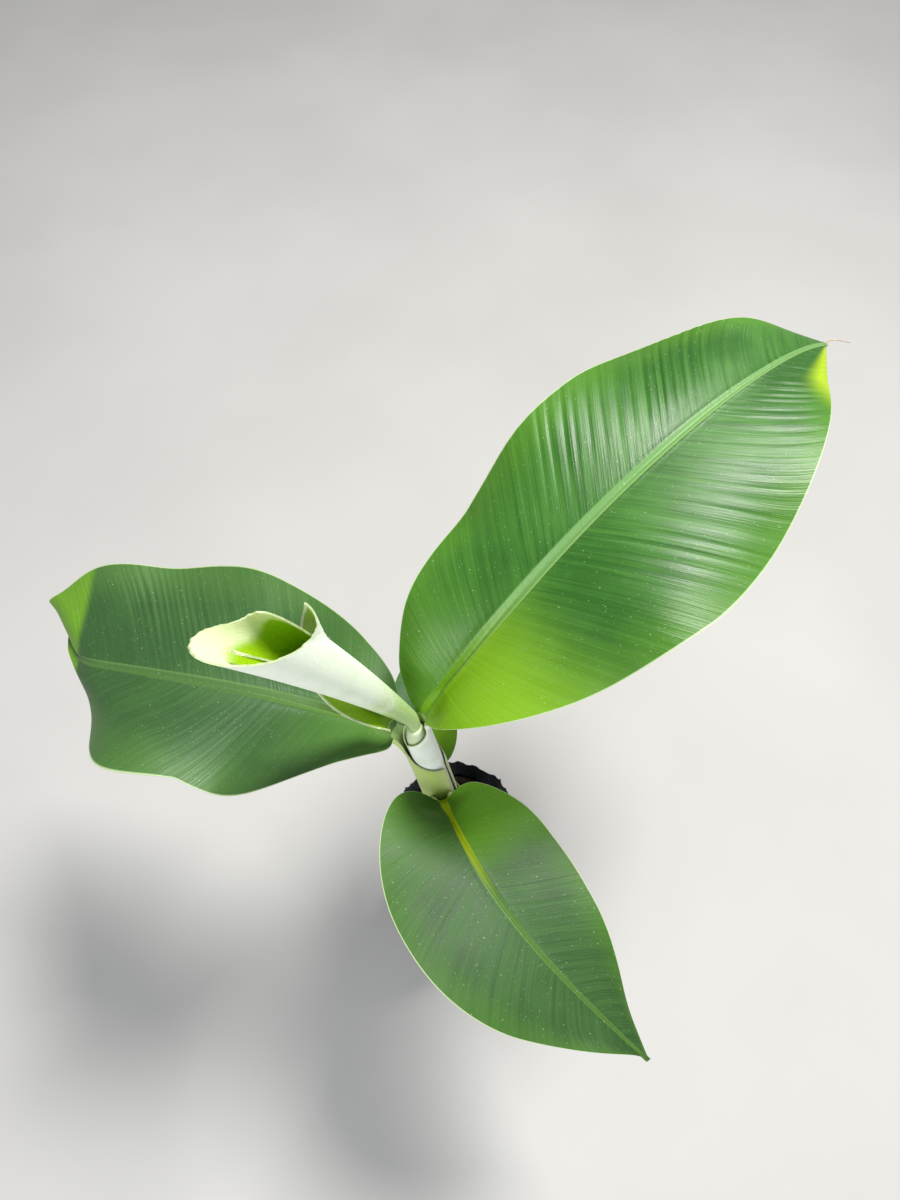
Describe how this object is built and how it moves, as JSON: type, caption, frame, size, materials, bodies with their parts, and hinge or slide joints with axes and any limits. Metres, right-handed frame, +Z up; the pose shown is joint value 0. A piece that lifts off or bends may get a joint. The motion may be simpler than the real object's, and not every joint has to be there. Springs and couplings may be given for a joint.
{
  "type": "banana plant",
  "caption": "Young banana plant in a soft black nursery bag, with broad spreading leaves and a furled new leaf.",
  "frame": {"origin": "centre of the bag's flat underside", "axes": "+Z up along the bag, +X to the right and +Y away from the viewer as the plant is seen in the picture"},
  "size_m": [0.4898, 0.3668, 0.5629],
  "materials": {
    "bag": "satin",
    "soil": "matte",
    "stem": "satin",
    "petiole": "satin",
    "leaf": "satin",
    "furled_leaf": "satin"
  },
  "bodies": {
    "root": {"bag": "bag", "soil": "soil", "pseudostem": "stem", "petiole_back_right": "petiole", "leaf_back_right": "leaf", "petiole_left": "petiole", "leaf_left": "leaf", "petiole_front_right": "petiole", "leaf_front_right": "leaf", "petiole_small_back": "petiole", "leaf_small_back": "leaf", "leaf_furled": "furled_leaf"}
  },
  "joints": []
}
